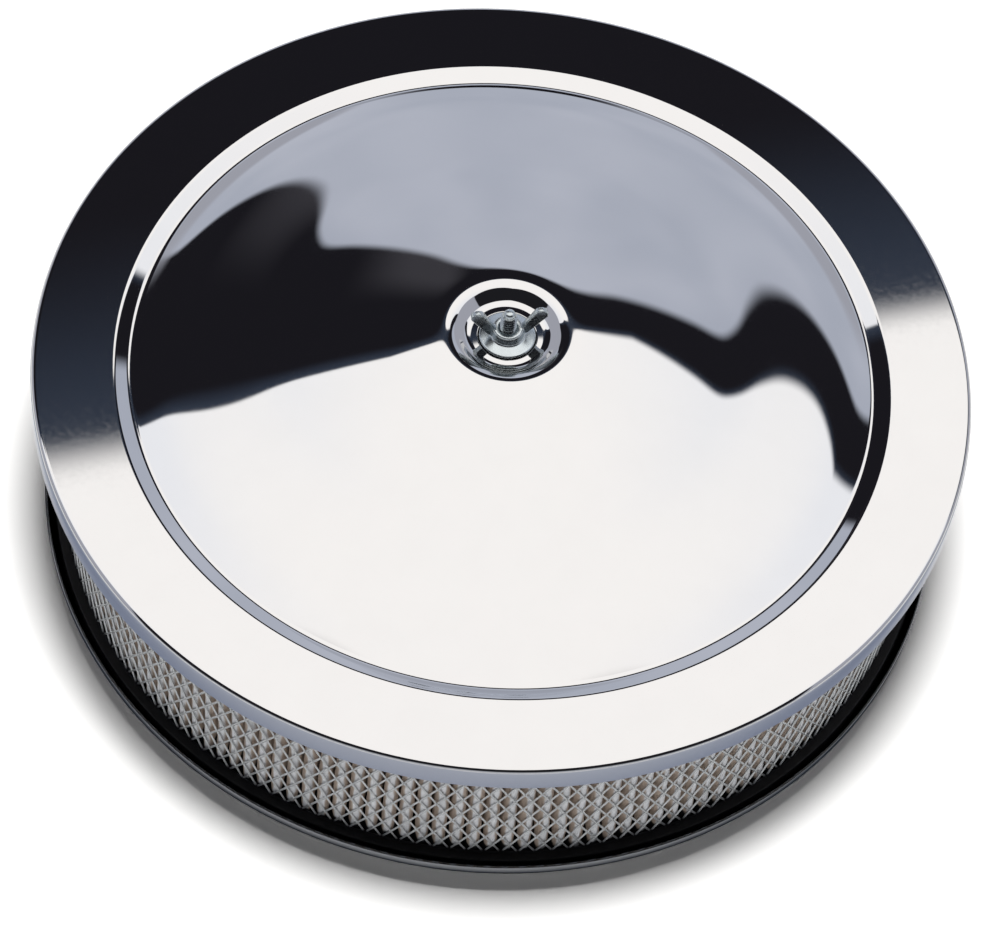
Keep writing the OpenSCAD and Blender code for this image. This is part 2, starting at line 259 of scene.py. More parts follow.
def line_piece(name, points):
    """A new piece drawn as a line of points, left open in edit mode with everything selected."""
    rest()
    bpy.ops.mesh.primitive_plane_add(size=MM, location=points[0])
    piece = named(name)
    edit(piece)
    bpy.ops.mesh.merge(type="CENTER")
    for before, after in zip(points, points[1:]):
        step = Vector(after) - Vector(before)
        bpy.ops.mesh.extrude_region_move(TRANSFORM_OT_translate={"value": step})
    bpy.ops.mesh.select_all(action="SELECT")
    return piece


def turned(name, outline, steps):
    """A new piece turned about the upright axis from an outline of (radius, height)."""
    piece = line_piece(name, [(r, 0, z) for r, z in outline])
    bpy.ops.mesh.spin(steps=steps, angle=math.tau, center=(0, 0, 0), axis=(0, 0, 1))
    bpy.ops.mesh.select_all(action="SELECT")
    bpy.ops.mesh.remove_doubles(threshold=2e-6)
    bpy.ops.mesh.normals_make_consistent(inside=False)
    return piece


def lift_faces(piece):
    """Turns an open sheet so that its widest level faces look up."""
    mesh = bmesh.from_edit_mesh(piece.data)
    if sum(f.normal.z * f.calc_area() for f in mesh.faces) < 0:
        bpy.ops.mesh.flip_normals()
    rest()


def bent(rows, degrees=6.0):
    """Points of a line through rows of (radius, height, bend radius), with each bend drawn as an arc.

    A point close beside each bend keeps the shading of the straights even.
    """
    path = []
    last = len(rows) - 1
    for i, (r, z, bend) in enumerate(rows):
        here = Vector((r, z))
        if bend == 0 or i in (0, last):
            path.append(here)
            continue
        a = (Vector(rows[i - 1][:2]) - here).normalized()
        b = (Vector(rows[i + 1][:2]) - here).normalized()
        half = a.angle(b) / 2
        reach_in = bend / math.tan(half)
        middle = here + (a + b).normalized() * bend / math.sin(half)
        first = here + a * reach_in - middle
        turn = math.pi - 2 * half
        cross = first.x * (here + b * reach_in - middle).y - first.y * (here + b * reach_in - middle).x
        sweep = math.copysign(turn, cross)
        step = math.radians(degrees if bend < 10 * MM else 0.6)
        steps = max(3, math.ceil(turn / step))
        arc = []
        for k in range(steps + 1):
            t = sweep * k / steps
            c, s = math.cos(t), math.sin(t)
            arc.append(middle + Vector((first.x * c - first.y * s, first.x * s + first.y * c)))
        beside = 0.25 * MM
        if (path[-1] - arc[0]).length > 3 * beside:
            path.append(arc[0] + a * beside)
        path += arc
        if (Vector(rows[i + 1][:2]) - arc[-1]).length > 3 * beside:
            path.append(arc[-1] + b * beside)
    return [tuple(p) for p in path]


def slope_at(r):
    """Tangent of the dome's slope at a radius, on a smooth curve through the slopes above."""
    knots = [(radius * MM, math.tan(math.radians(degrees))) for radius, degrees in DOME_SLOPES]
    i = max(1, min(len(knots) - 3, sum(knot[0] <= r for knot in knots) - 1))
    if r < knots[1][0]:
        (r0, a), (r1, b) = knots[:2]
        return a + (b - a) * (r - r0) / (r1 - r0)
    (ra, a), (rb, b), (rc, c), (rd, d) = knots[i - 1:i + 3]
    span = rc - rb
    t = (r - rb) / span
    rise_b, rise_c = (c - a) / (rc - ra) * span, (d - b) / (rd - rb) * span
    return (b * (2 * t ** 3 - 3 * t ** 2 + 1) + c * (3 * t ** 2 - 2 * t ** 3)
            + rise_b * (t ** 3 - 2 * t ** 2 + t) + rise_c * (t ** 3 - t ** 2))


def dome_line(first, last, high, low, step):
    """Points (radius, height) down the dome from the crown towards the step, met at both ends."""
    count_ = math.ceil((last - first) / step)
    radii = [first + (last - first) * k / count_ for k in range(count_ + 1)]
    drops = [0.0]
    for a, b in zip(radii, radii[1:]):
        drops.append(drops[-1] + (slope_at(a) + 4 * slope_at((a + b) / 2) + slope_at(b)) / 6 * (b - a))
    return [(r, high - drop * (high - low) / drops[-1]) for r, drop in zip(radii, drops)]


def pressed(name, path, sheet, steps):
    """A sheet of even thickness under a line of points."""
    piece = turned(name, path, steps)
    lift_faces(piece)
    apply(piece, "SOLIDIFY", thickness=sheet, offset=-1, use_even_offset=True, use_quality_normals=True)
    return piece


def smooth(piece, degrees=38):
    pick(piece)
    bpy.ops.object.shade_smooth_by_angle(angle=math.radians(degrees))
    rest()


def finish(piece, material, body, slot, *nodes):
    """Gives a piece its material and body, and says which nodes it stands for. The slot is not used."""
    rest()
    piece.data.materials.clear()
    piece.data.materials.append(material)
    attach(piece, body)
    if nodes:
        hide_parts(*nodes)


def dress(node, material):
    """Gives a node of the frame its material."""
    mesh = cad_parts[node].data
    mesh.materials.clear()
    mesh.materials.append(material)


# Materials

class Wiring:
    """Nodes of one material or world, added and joined by short calls."""

    def __init__(self, owner):
        owner.use_nodes = True
        self.tree = owner.node_tree
        self.tree.nodes.clear()

    def node(self, kind, **settings):
        node = self.tree.nodes.new(kind)
        for key, value in settings.items():
            setattr(node, key, value)
        return node

    def join(self, source, target):
        self.tree.links.new(source, target)

    def put(self, target, value):
        if isinstance(value, bpy.types.NodeSocket):
            self.join(value, target)
        else:
            target.default_value = value

    def math(self, operation, a, b=0.0, clamp=False):
        node = self.node("ShaderNodeMath", operation=operation, use_clamp=clamp)
        self.put(node.inputs[0], a)
        self.put(node.inputs[1], b)
        return node.outputs[0]

    def ramp(self, value, low, high, to_low=0.0, to_high=1.0, soft=True):
        node = self.node("ShaderNodeMapRange", interpolation_type="SMOOTHSTEP" if soft else "LINEAR")
        self.put(node.inputs["Value"], value)
        for key, number_ in (("From Min", low), ("From Max", high), ("To Min", to_low), ("To Max", to_high)):
            self.put(node.inputs[key], number_)
        return node.outputs["Result"]

    def noise(self, vector, scale, detail=2.0, roughness=0.5):
        node = self.node("ShaderNodeTexNoise")
        self.join(vector, node.inputs["Vector"])
        node.inputs["Scale"].default_value = scale
        node.inputs["Detail"].default_value = detail
        node.inputs["Roughness"].default_value = roughness
        return node.outputs["Fac"]

    def mix(self, factor, a, b):
        node = self.node("ShaderNodeMix", data_type="RGBA")
        self.put(node.inputs[0], factor)
        self.put(node.inputs[6], a)
        self.put(node.inputs[7], b)
        return node.outputs[2]

    def bump(self, height, strength, distance, normal=None):
        node = self.node("ShaderNodeBump")
        node.inputs["Strength"].default_value = strength
        node.inputs["Distance"].default_value = distance
        self.join(height, node.inputs["Height"])
        if normal:
            self.join(normal, node.inputs["Normal"])
        return node.outputs["Normal"]

    def place(self):
        return self.node("ShaderNodeTexCoord").outputs["Object"]


def opaque(rgb):
    return (*rgb, 1.0)


def shade(rgb, factor):
    return opaque(tuple(min(1.0, c * factor) for c in rgb))


def surface(name, metallic=0.0):
    """A new material with its shader and output, ready for wiring."""
    material = bpy.data.materials.new(name)
    wiring = Wiring(material)
    shader = wiring.node("ShaderNodeBsdfPrincipled")
    shader.inputs["Metallic"].default_value = metallic
    output = wiring.node("ShaderNodeOutputMaterial")
    wiring.join(shader.outputs[0], output.inputs["Surface"])
    return material, wiring, shader


def chrome(name, rgb, painted_shade_radius, painted_shade_rgb):
    """Mirror plating with a faint haze; outside a radius the plating colour turns darker and bluer, painted shade
    that stands for the dim floor reflected by the lid's lip or the base's rim.
    """
    material, w, shader = surface(name, 1.0)
    place = w.place()
    haze = w.noise(place, 60.0, 4.0, 0.6)
    plating = w.mix(haze, shade(rgb, 0.98), shade(rgb, 1.02))
    split = w.node("ShaderNodeSeparateXYZ")
    w.join(place, split.inputs[0])
    x, y, z = split.outputs
    radius = w.math("SQRT", w.math("ADD", w.math("MULTIPLY", x, x), w.math("MULTIPLY", y, y)))
    # painted shade: outside this radius the plating colour and its reflection tint are darkened to stand for the
    # dim, shadowed floor that the lip or rim reflects
    lip = w.ramp(radius, painted_shade_radius - 0.0003, painted_shade_radius - 0.0001)
    w.join(w.mix(lip, plating, opaque(painted_shade_rgb)), shader.inputs["Base Color"])
    w.join(w.mix(lip, (1, 1, 1, 1), shade(painted_shade_rgb, 1.6)), shader.inputs["Specular Tint"])
    polish = w.noise(place, 420.0, 3.0, 0.6)
    w.join(w.ramp(polish, 0.3, 0.8, 0.02, 0.035), shader.inputs["Roughness"])
    wave = w.noise(place, 12.0, 0.0, 0.4)
    w.join(w.bump(wave, 0.03, 0.002), shader.inputs["Normal"])
    return material


def zinc(rgb):
    material, w, shader = surface("bright_zinc", 1.0)
    place = w.place()
    cloud = w.noise(place, 300.0, 4.0, 0.6)
    w.join(w.mix(cloud, shade(rgb, 0.92), shade(rgb, 1.08)), shader.inputs["Base Color"])
    w.join(w.ramp(cloud, 0.3, 0.7, 0.2, 0.3), shader.inputs["Roughness"])
    grain = w.noise(place, 2400.0, 3.0, 0.6)
    w.join(w.bump(grain, 0.06, 0.0002), shader.inputs["Normal"])
    return material


def mesh_metal(rgb, low, foot_dark):
    """Dull plated strands, black along their foot just above the lower seal, with a ragged upper edge."""
    material, w, shader = surface("plated_mesh", 0.75)
    place = w.place()
    cloud = w.noise(place, 240.0, 4.0, 0.6)
    split = w.node("ShaderNodeSeparateXYZ")
    w.join(place, split.inputs[0])
    stray = w.math("MULTIPLY", w.math("SUBTRACT", w.noise(place, 120.0, 2.0), 0.5), 0.003)
    above = w.math("SUBTRACT", w.math("SUBTRACT", split.outputs[2], low), stray)
    black = w.ramp(above, 0.0006, 0.0018, 1.0, 0.0)
    w.join(w.mix(black, w.mix(cloud, shade(rgb, 0.8), shade(rgb, 1.15)), foot_dark), shader.inputs["Base Color"])
    w.join(w.ramp(cloud, 0.3, 0.7, 0.38, 0.55), shader.inputs["Roughness"])
    grain = w.noise(place, 2200.0, 3.0, 0.6)
    w.join(w.bump(grain, 0.15, 0.0002), shader.inputs["Normal"])
    return material


def rubber(name, rgb, low, high, scale):
    material, w, shader = surface(name)
    place = w.place()
    speck = w.noise(place, scale, 5.0, 0.65)
    w.join(w.mix(w.ramp(speck, 0.45, 0.75), shade(rgb, 0.7), shade(rgb, 2.2)), shader.inputs["Base Color"])
    w.join(w.ramp(speck, 0.35, 0.7, low, high), shader.inputs["Roughness"])
    shader.inputs["Specular IOR Level"].default_value = 0.25
    pores = w.noise(place, scale * 4, 4.0, 0.6)
    w.join(w.bump(pores, 0.25, 0.0003), shader.inputs["Normal"])
    return material


def paper(rgb, low, foot_dark, pleats, fold_at):
    """Filter paper: fibres; a browner, darker tint on the pleat flanks away from the fold tips and deep between the
    pleats, painted shade where the pleats shade each other; and black at its foot, climbing to about 13 mm deep
    between the pleats as painted shade in the pleat gaps.
    """
    material, w, shader = surface("pleat_paper")
    place = w.place()
    split = w.node("ShaderNodeSeparateXYZ")
    w.join(place, split.inputs[0])
    x, y, z = split.outputs
    radius = w.math("SQRT", w.math("ADD", w.math("MULTIPLY", x, x), w.math("MULTIPLY", y, y)))
    fibre = w.noise(place, 900.0, 5.0, 0.7)
    cloud = w.noise(place, 70.0, 3.0, 0.5)
    pale = w.mix(fibre, shade(rgb, 0.86), shade(rgb, 1.12))
    # painted shade: tan is the darker, browner colour painted on the pleat flanks and deep between the pleats,
    # where the pleats shade each other
    tan = w.mix(cloud, (0.38, 0.30, 0.245, 1), (0.52, 0.43, 0.365, 1))
    turn = w.math("MULTIPLY", w.math("ARCTAN2", y, x), pleats / math.tau)
    turn = w.math("ADD", w.math("SUBTRACT", turn, fold_at), w.math("MULTIPLY", w.math("SUBTRACT", cloud, 0.5), 0.5))
    aside = w.math("ABSOLUTE", w.math("SUBTRACT", w.math("FRACT", turn), 0.5))
    flank_painted_shade = w.ramp(aside, 0.12, 0.26)
    depth = w.ramp(radius, 0.1600, 0.1625, 1.0, 0.0)
    pleats_painted_shade = w.mix(w.math("MAXIMUM", flank_painted_shade, w.math("MULTIPLY", depth, 0.85)), pale, tan)
    # painted shade: the black at the foot climbs from about 2 mm at the fold tips to about 13 mm deep between the
    # pleats, standing for the shade in the pleat gaps
    stray = w.math("MULTIPLY", w.math("SUBTRACT", w.noise(place, 120.0, 2.0), 0.5), 0.008)
    gap_shade_height = w.ramp(radius, 0.1600, 0.1640, 0.013, 0.002)
    above = w.math("SUBTRACT", w.math("SUBTRACT", z, low), w.math("ADD", gap_shade_height, stray))
    black = w.ramp(above, -0.001, 0.0015, 1.0, 0.0)
    w.join(w.mix(black, pleats_painted_shade, foot_dark), shader.inputs["Base Color"])
    shader.inputs["Roughness"].default_value = 0.9
    shader.inputs["Specular IOR Level"].default_value = 0.2
    w.join(w.bump(fibre, 0.35, 0.0003), shader.inputs["Normal"])
    return material


def gasket(rgb):
    material, w, shader = surface("gasket_fibre")
    place = w.place()
    fleck = w.noise(place, 700.0, 5.0, 0.7)
    w.join(w.mix(w.ramp(fleck, 0.4, 0.7), shade(rgb, 0.6), shade(rgb, 2.6)), shader.inputs["Base Color"])
    shader.inputs["Roughness"].default_value = 0.85
    w.join(w.bump(fleck, 0.3, 0.0003), shader.inputs["Normal"])
    return material


def floor_paint(rgb):
    """Pale floor, seen a little brighter than it lights, so that it reads white and keeps its shadow."""
    material, w, shader = surface("studio_floor")
    place = w.place()
    grain = w.noise(place, 40.0, 3.0, 0.5)
    lit = w.mix(grain, shade(rgb, 0.99), shade(rgb, 1.01))
    seen_rgb = tuple(1.45 * c for c in rgb)
    seen = w.mix(grain, (*(0.99 * c for c in seen_rgb), 1), (*(1.01 * c for c in seen_rgb), 1))
    path = w.node("ShaderNodeLightPath")
    looked = w.math("MAXIMUM", w.math("MAXIMUM", path.outputs["Is Camera Ray"], path.outputs["Is Glossy Ray"]),
                    path.outputs["Is Transmission Ray"])
    w.join(w.mix(looked, lit, seen), shader.inputs["Base Color"])
    shader.inputs["Roughness"].default_value = 0.9
    shader.inputs["Specular IOR Level"].default_value = 0.0
    return material


# Stage

def studio(world, brightness):
    """Surroundings by direction: a light panel overhead, a dark gap behind it and a grey wall beyond."""
    w = Wiring(world)
    place = w.node("ShaderNodeTexCoord").outputs["Generated"]
    split = w.node("ShaderNodeSeparateXYZ")
    w.join(place, split.inputs[0])
    x, y, z = split.outputs
    up = w.math("MAXIMUM", z, 0.02)
    gx = w.math("DIVIDE", x, up)
    gy = w.math("DIVIDE", y, up)
    aside = w.math("ABSOLUTE", gx)
    back = w.math("MAXIMUM", 0.575, w.math("ADD", 0.725, w.math("MULTIPLY", gx, 0.37)))
    right = w.math("MAXIMUM", 0.66, w.math("ADD", 0.9 + 0.68 * 0.48, w.math("MULTIPLY", gx, -0.68)))
    edge = w.math("SUBTRACT", gy, w.math("MINIMUM", back, right))
    soft = w.ramp(gx, 0.15, 0.5, 0.007, 0.03)
    panel = w.ramp(edge, w.math("MULTIPLY", soft, -1.0), soft, 1.0, 0.0)
    front = w.math("MAXIMUM", w.math("ADD", -0.28, w.math("MULTIPLY", aside, 0.45)),
                   w.math("ADD", -0.82, w.math("MULTIPLY", aside, 1.3)))
    below = w.ramp(w.math("SUBTRACT", gy, front), -0.02, 0.02, 1.0, 0.0)
    panel = w.math("MULTIPLY", panel, w.ramp(aside, 1.14, 1.24, 1.0, 0.0))
    wall = w.ramp(w.math("ADD", gy, w.math("MULTIPLY", gx, 0.27)), 1.31, 1.41)
    brown = w.math("MULTIPLY", w.ramp(gx, -0.62, -0.42), w.ramp(gy, 0.95, 1.25))
    brown = w.math("MULTIPLY", brown, w.ramp(gx, -0.2, -0.34))
    dark = w.mix(brown, (0.017, 0.016, 0.021, 1), (0.07, 0.067, 0.078, 1))
    dark = w.mix(w.ramp(edge, 0.0, 0.07), (0.05, 0.065, 0.10, 1), dark)
    cloud = w.noise(place, 3.0, 2.0, 0.5)
    grey = w.mix(w.ramp(cloud, 0.3, 0.7), (0.66, 0.70, 0.82, 1), (0.78, 0.81, 0.93, 1))
    tone = w.mix(wall, dark, grey)
    lit = (brightness, brightness * 0.965, brightness * 0.94, 1)
    pale = (brightness * 0.88, brightness * 0.88, brightness * 0.91, 1)
    tone = w.mix(w.ramp(aside, 1.2, 1.3), tone, (0.58, 0.59, 0.67, 1))
    tone = w.mix(panel, tone, w.mix(w.ramp(aside, 0.2, 0.9), lit, pale))
    side = w.ramp(w.math("ADD", gy, w.math("MULTIPLY", aside, 0.52)), 0.35, 0.4)
    near = w.mix(w.ramp(gy, -1.4, -3.2), (0.02, 0.02, 0.024, 1), (0.66, 0.67, 0.72, 1))
    tone = w.mix(below, tone, w.mix(side, near, (0.58, 0.59, 0.67, 1)))
    tone = w.mix(w.ramp(z, 0.10, 0.05), tone, (0.85, 0.85, 0.87, 1))
    background = w.node("ShaderNodeBackground")
    w.join(tone, background.inputs["Color"])
    path = w.node("ShaderNodeLightPath")
    mirrored = w.math("MAXIMUM", w.math("MAXIMUM", path.outputs["Is Camera Ray"], path.outputs["Is Glossy Ray"]),
                      path.outputs["Is Transmission Ray"])
    w.join(w.ramp(mirrored, 0.0, 1.0, 0.18, 1.0, soft=False), background.inputs["Strength"])
    output = w.node("ShaderNodeOutputWorld")
    w.join(background.outputs[0], output.inputs["Surface"])


class AIRCLEANER_OT_stage(bpy.types.Operator):
    """Sets the camera, the surroundings, the lamp and the pale floor"""
    bl_idname = "aircleaner.stage"
    bl_label = "Studio"

    def execute(self, context):
        s = context.scene.air_cleaner.stage
        middle = Vector((0, 0, context.scene.air_cleaner.lid.edge + context.scene.air_cleaner.lid.lip_depth))
        place = middle + Vector((0, -math.cos(s.elevation), math.sin(s.elevation))) * s.distance
        steep = s.elevation + s.tilt
        behind = Vector((math.sin(s.pan) * math.cos(steep), -math.cos(s.pan) * math.cos(steep), math.sin(steep)))
        right = Vector((math.cos(s.pan), math.sin(s.pan), 0))
        up = behind.cross(right)
        across = right * math.cos(s.roll) + up * math.sin(s.roll)
        upward = up * math.cos(s.roll) - right * math.sin(s.roll)
        rest()
        bpy.ops.object.camera_add(location=place)
        camera = context.object
        camera.name = "camera"
        camera.matrix_world = Matrix.Translation(place) @ Matrix((across, upward, behind)).transposed().to_4x4()
        camera.data.lens = s.lens
        camera.data.sensor_width = 36
        camera.data.sensor_fit = "HORIZONTAL"
        camera.data.shift_x = s.shift_x
        camera.data.shift_y = s.shift_y
        camera.data.clip_end = 50
        context.scene.camera = camera
        context.scene.view_settings.view_transform = "Standard"
        world = bpy.data.worlds.new("studio")
        context.scene.world = world
        studio(world, s.panel)
        lamps = (("overhead_lamp", (0, -0.17, 3), 3.2, 0.75, s.overhead), ("front_lamp", (0, -2.2, 0.9), 68, 1.2, s.front))
        for name, spot, lean, across_, watts in lamps:
            rest()
            bpy.ops.object.light_add(type="AREA", location=spot, rotation=(math.radians(lean), 0, 0))
            lamp = context.object
            lamp.name = name
            lamp.data.shape = "SQUARE"
            lamp.data.size = across_
            lamp.data.energy = watts
            lamp.visible_glossy = False
        rest()
        bpy.ops.mesh.primitive_plane_add(size=30, location=(0, 0, 0))
        floor = named("studio_floor")
        floor.data.materials.append(floor_paint(s.floor))
        rest()
        return {"FINISHED"}


# Pieces

class AIRCLEANER_OT_lid(bpy.types.Operator):
    """Presses the plated lid with its lip, flat ring, step, dome and dish"""
    bl_idname = "aircleaner.lid"
    bl_label = "Plated lid"

    def execute(self, context):
        cleaner = context.scene.air_cleaner
        s = cleaner.lid
        ring = s.edge + s.lip_depth
        low = ring - s.step_drop
        crown_in = s.crown_radius - s.crown_bend * math.tan(s.ledge_slope / 2)
        foot_in = crown_in - (s.floor + 0.05 * MM) / math.tan(s.ledge_slope)
        dish = bent([
            (s.hole, s.crown - s.depth, 0),
            (s.recess, s.crown - s.depth, 0.4 * MM),
            (s.recess + 0.05 * MM, s.crown - s.floor + 0.05 * MM, 0.5 * MM),
            (foot_in, s.crown - s.floor - 0.05 * MM, 5.5 * MM),
            (crown_in, s.crown, s.crown_bend),
            (s.crown_radius, s.crown, 0),
        ], 8)
        dome = [p for p in dome_line(s.crown_radius, s.step_foot, s.crown, low, 1.7 * MM)
                if s.crown_radius + 0.5 * MM < p[0] < s.step_foot - 2 * MM]
        skirt = bent([
            (*dome[-1], 0),
            (s.step_foot, low, s.step_bend),
            (s.ring_in, ring, s.step_bend),
            (s.radius, ring, s.lip_bend),
            (s.radius, s.edge, 0),
        ])
        piece = pressed("plated_lid", dish + dome[:-1] + skirt, s.sheet, 240)
        apply(piece, "BEVEL", limit_method="ANGLE", angle_limit=math.radians(60), width=0.28 * MM, segments=3)
        smooth(piece)
        finish(piece, bpy.data.materials["bright_chrome"], "cleaner", "chrome", "lid")
        return {"FINISHED"}


class AIRCLEANER_OT_base(bpy.types.Operator):
    """Presses the plated base with its rim, seat, panel, neck and breather hole"""
    bl_idname = "aircleaner.base"
    bl_label = "Base pan"

    def execute(self, context):
        s = context.scene.air_cleaner.base
        panel = s.seat - s.panel_drop
        rows = [
            (s.bore + s.sheet, s.plate + s.bore_edge, 0),
            (s.bore + s.sheet, s.plate, 1.5 * MM),
            (s.neck_wall, s.plate, s.bend),
            (s.panel_in, panel, s.bend),
            (s.panel_out, panel, s.bend),
            (s.seat_in, s.seat, s.bend),
            (s.rim, s.seat, s.rim_bend),
            (s.rim, s.rim_top, 0),
        ]
        piece = pressed("base_sheet", bent(rows), s.sheet, 240)
        rest()
        at = Matrix.Rotation(s.hole_turn, 3, "Z") @ Vector((s.hole_at, 0, panel))
        bpy.ops.mesh.primitive_cylinder_add(vertices=64, radius=s.hole, depth=8 * MM, location=at)
        punch = named("punch")
        apply(piece, "BOOLEAN", operation="DIFFERENCE", object=punch, solver="EXACT")
        bpy.data.objects.remove(punch)
        apply(piece, "BEVEL", limit_method="ANGLE", angle_limit=math.radians(60), width=0.25 * MM, segments=2)
        smooth(piece)
        finish(piece, bpy.data.materials["base_chrome"], "cleaner", "chrome", "base_pan")
        return {"FINISHED"}


def expanded_metal(name, radius, sheet, s):
    """Expanded metal tube: a grid of quads poked, its own edges dissolved and the diamonds turned into strands."""
    rest()
    bpy.ops.mesh.primitive_circle_add(vertices=s.columns, radius=radius - sheet / 2, location=(0, 0, s.low))
    piece = named(name)
    edit(piece)
    for _ in range(s.rows):
        bpy.ops.mesh.extrude_region_move(TRANSFORM_OT_translate={"value": (0, 0, (s.high - s.low) / s.rows)})
    bpy.ops.mesh.select_all(action="SELECT")
    bpy.ops.mesh.normals_make_consistent(inside=False)
    bpy.ops.mesh.poke()
    bpy.ops.mesh.select_mode(type="EDGE")
    bpy.ops.mesh.select_all(action="DESELECT")
    mesh = bmesh.from_edit_mesh(piece.data)
    for e in mesh.edges:
        a, b = (v.co for v in e.verts)
        level = abs(a.z - b.z) < 1e-5
        upright = (a.xy - b.xy).length < 1e-5
        if (level or upright) and not e.is_boundary:
            e.select_set(True)
    bmesh.update_edit_mesh(piece.data)
    bpy.ops.mesh.dissolve_edges(use_verts=False)
    rest()
    apply(piece, "WIREFRAME", thickness=s.strand, offset=0, use_even_offset=True, use_boundary=True)
    return piece


class AIRCLEANER_OT_mesh(bpy.types.Operator):
    """Wraps the outer and inner expanded metal round the paper"""
    bl_idname = "aircleaner.mesh"
    bl_label = "Expanded metal"

    def execute(self, context):
        s = context.scene.air_cleaner.ring
        metal = bpy.data.materials["plated_mesh"]
        outer = expanded_metal("outer_mesh", s.outer, s.mesh, s)
        finish(outer, metal, "cleaner", "expanded_metal", "outer_screen")
        inner = expanded_metal("inner_mesh", s.inner, s.mesh, s)
        finish(inner, metal, "cleaner", "expanded_metal", "inner_screen")
        return {"FINISHED"}


class AIRCLEANER_OT_paper(bpy.types.Operator):
    """Folds the pleated paper ring, each fold a little off even"""
    bl_idname = "aircleaner.paper"
    bl_label = "Pleated paper"

    def execute(self, context):
        s = context.scene.air_cleaner.ring
        out, inn = s.outer - s.mesh - 0.35 * MM, s.inner + 0.35 * MM
        half = math.pi / s.pleats

        def at(radius, aside):
            return (radius * math.cos(aside / radius), radius * math.sin(aside / radius), s.low)

        tip = out - s.fold
        side = [(inn, -half * inn), (inn + 1.0 * MM, -half * inn + 0.35 * MM)]
        side += [(inn + (tip - inn) * k, -half * inn + 0.35 * MM + (half * inn - 0.35 * MM - s.fold) * k ** 1.5)
                 for k in (0.35, 0.7)]
        around = [(tip + s.fold * math.cos(t), s.fold * math.sin(t))
                  for t in (math.radians(d) for d in (-90, -60, -30, 0, 30, 60, 90))]
        back = [(r, -a) for r, a in reversed(side)]
        piece = line_piece("pleats", [at(r, a + s.lean * (r - inn)) for r, a in side + around + back])
        bpy.ops.mesh.spin(steps=s.pleats, angle=math.tau, center=(0, 0, 0), axis=(0, 0, 1), dupli=True)
        bpy.ops.mesh.select_all(action="SELECT")
        bpy.ops.mesh.remove_doubles(threshold=5e-6)
        bpy.ops.mesh.select_all(action="SELECT")
        rows = 6
        for _ in range(rows):
            bpy.ops.mesh.extrude_region_move(TRANSFORM_OT_translate={"value": (0, 0, (s.high - s.low) / rows)})
        bpy.ops.mesh.select_all(action="SELECT")
        bpy.ops.mesh.normals_make_consistent(inside=False)
        rest()
        cloud = bpy.data.textures.new("stray", "CLOUDS")
        cloud.noise_scale = 0.02
        cloud.cloud_type = "COLOR"
        apply(piece, "DISPLACE", texture=cloud, direction="RGB_TO_XYZ", mid_level=0.5, strength=s.stray)
        apply(piece, "SOLIDIFY", thickness=s.paper, offset=0)
        smooth(piece, 60)
        finish(piece, bpy.data.materials["pleat_paper"], "cleaner", "filter_paper", "pleated_paper")
        return {"FINISHED"}


class AIRCLEANER_OT_seals(bpy.types.Operator):
    """Finishes the moulded seals, the breather plug, the nut's washer and the neck gasket"""
    bl_idname = "aircleaner.seals"
    bl_label = "Seals and gasket"

    def execute(self, context):
        for node in ("top_seal", "bottom_seal"):
            dress(node, bpy.data.materials["moulded_seal"])
        dress("breather_plug", bpy.data.materials["plug_rubber"])
        dress("nut_seal_washer", bpy.data.materials["plug_rubber"])
        dress("neck_gasket", bpy.data.materials["gasket_fibre"])
        return {"FINISHED"}


def wing(name, s):
    """One wing: its outline drawn out to a round tip, filled and thickened."""
    root_in = (s.hub_head - s.wing / 2, s.hub - 0.6 * MM)
    root_low = (s.hub_head - s.wing / 2, 2.2 * MM)
    root_out = (s.hub_foot + s.wing / 2, 2.2 * MM + s.wing / 4)
    low_at = math.atan2(s.tip_up - root_out[1], s.tip_out - root_out[0]) - math.pi / 2
    high_at = math.atan2(s.tip_up - root_in[1], s.tip_out - root_in[0]) + math.pi / 2
    tip = [(s.tip_out + s.tip * math.cos(t), s.tip_up + s.tip * math.sin(t))
           for t in (low_at + (high_at - low_at) * k / 20 for k in range(21))]
    outline = [root_in, root_low, root_out] + tip
    piece = line_piece(name, [(x, s.wing / 2, s.underside + z) for x, z in outline])
    bpy.ops.mesh.edge_face_add()
    bpy.ops.mesh.extrude_region_move(TRANSFORM_OT_translate={"value": (0, -s.wing, 0)})
    bpy.ops.mesh.select_all(action="SELECT")
    bpy.ops.mesh.normals_make_consistent(inside=False)
    rest()
    return piece


class AIRCLEANER_OT_nut(bpy.types.Operator):
    """Casts the wing nut: flange, hub and two wings grown into one soft-edged body"""
    bl_idname = "aircleaner.nut"
    bl_label = "Wing nut"

    def execute(self, context):
        s = context.scene.air_cleaner.nut
        z = s.underside
        rows = [
            (s.bore, z, 0), (s.flange, z, 0.15 * MM), (s.flange, z + 0.9 * MM, 0.4 * MM),
            (s.hub_foot, z + 2.2 * MM, 0.8 * MM), (s.hub_head, z + s.hub, 0.7 * MM),
            (s.bore + 0.6 * MM, z + s.hub, 0.1 * MM), (s.bore, z + s.hub - 0.6 * MM, 0), (s.bore, z, 0),
        ]
        piece = turned("wing_nut_cast", bent(rows, 15), 96)
        rest()
        for k in range(2):
            blade = wing("wing", s)
            edit(blade)
            bpy.ops.transform.rotate(value=-s.turn - math.pi * k, orient_axis="Z", center_override=(0, 0, 0))
            rest()
            apply(piece, "BOOLEAN", operation="UNION", object=blade, solver="EXACT")
            bpy.data.objects.remove(blade)
        apply(piece, "REMESH", mode="VOXEL", voxel_size=0.24 * MM)
        apply(piece, "CORRECTIVE_SMOOTH", iterations=6, smooth_type="SIMPLE", use_only_smooth=True)
        smooth(piece, 80)
        finish(piece, bpy.data.materials["bright_zinc"], "nut", "zinc_plate", "wing_nut")
        return {"FINISHED"}


